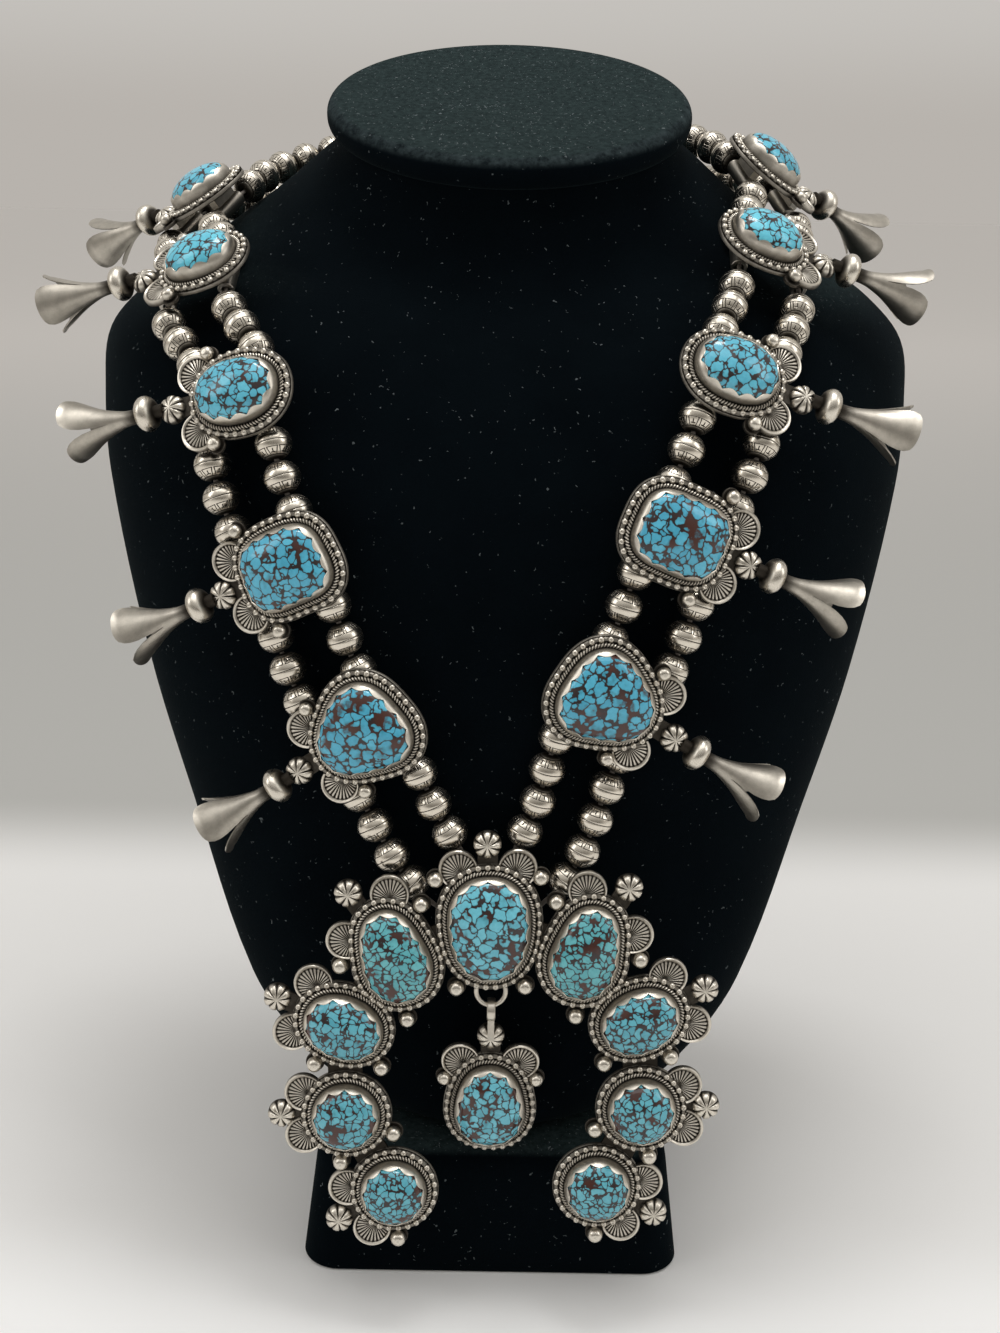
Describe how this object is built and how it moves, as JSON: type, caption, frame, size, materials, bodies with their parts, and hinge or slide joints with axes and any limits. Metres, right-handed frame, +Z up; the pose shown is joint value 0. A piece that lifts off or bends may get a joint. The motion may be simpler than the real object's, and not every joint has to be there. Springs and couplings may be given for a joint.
{
  "type": "squash blossom necklace on a neck bust",
  "caption": "Silver and turquoise squash blossom necklace with a crescent pendant and swinging drop, worn by a black velvet neck bust.",
  "frame": {"origin": "middle of the underside of the bust's foot, on the table", "axes": "+Z up, -Y toward the front of the chest and the viewer, +X toward the viewer's right"},
  "size_m": [0.2175, 0.1685, 0.2929],
  "materials": {
    "velvet": "matte",
    "silver": "satin",
    "bead_silver": "gloss",
    "turquoise": "gloss",
    "thread": "matte"
  },
  "bodies": {
    "worn_necklace_and_bust": {"bust_body": "velvet", "bust_foot": "velvet", "bust_cap": "velvet", "setting_left_1": "silver", "setting_left_2": "silver", "setting_left_3": "silver", "setting_left_4": "silver", "setting_left_5": "silver", "setting_right_1": "silver", "setting_right_2": "silver", "setting_right_3": "silver", "setting_right_4": "silver", "setting_right_5": "silver", "stone_left_1": "turquoise", "stone_left_2": "turquoise", "stone_left_3": "turquoise", "stone_left_4": "turquoise", "stone_left_5": "turquoise", "stone_right_1": "turquoise", "stone_right_2": "turquoise", "stone_right_3": "turquoise", "stone_right_4": "turquoise", "stone_right_5": "turquoise", "naja_frame": "silver", "naja_stone_top": "turquoise", "naja_stone_left_1": "turquoise", "naja_stone_left_2": "turquoise", "naja_stone_left_3": "turquoise", "naja_stone_left_4": "turquoise", "naja_stone_right_1": "turquoise", "naja_stone_right_2": "turquoise", "naja_stone_right_3": "turquoise", "naja_stone_right_4": "turquoise", "beads_inner_left": "bead_silver", "beads_inner_right": "bead_silver", "beads_outer_left": "bead_silver", "beads_outer_right": "bead_silver", "thread_inner": "thread", "thread_outer": "thread", "clasp": "silver"},
    "drop": {"drop_setting": "silver", "drop_stone": "turquoise"}
  },
  "joints": [
    {"name": "drop_swing", "type": "hinge", "parent": "worn_necklace_and_bust", "child": "drop", "pos_m": [-0.00065, -0.0506, 0.07737], "axis": [-1, 0, 0], "range_deg": [-10, 85]}
  ]
}
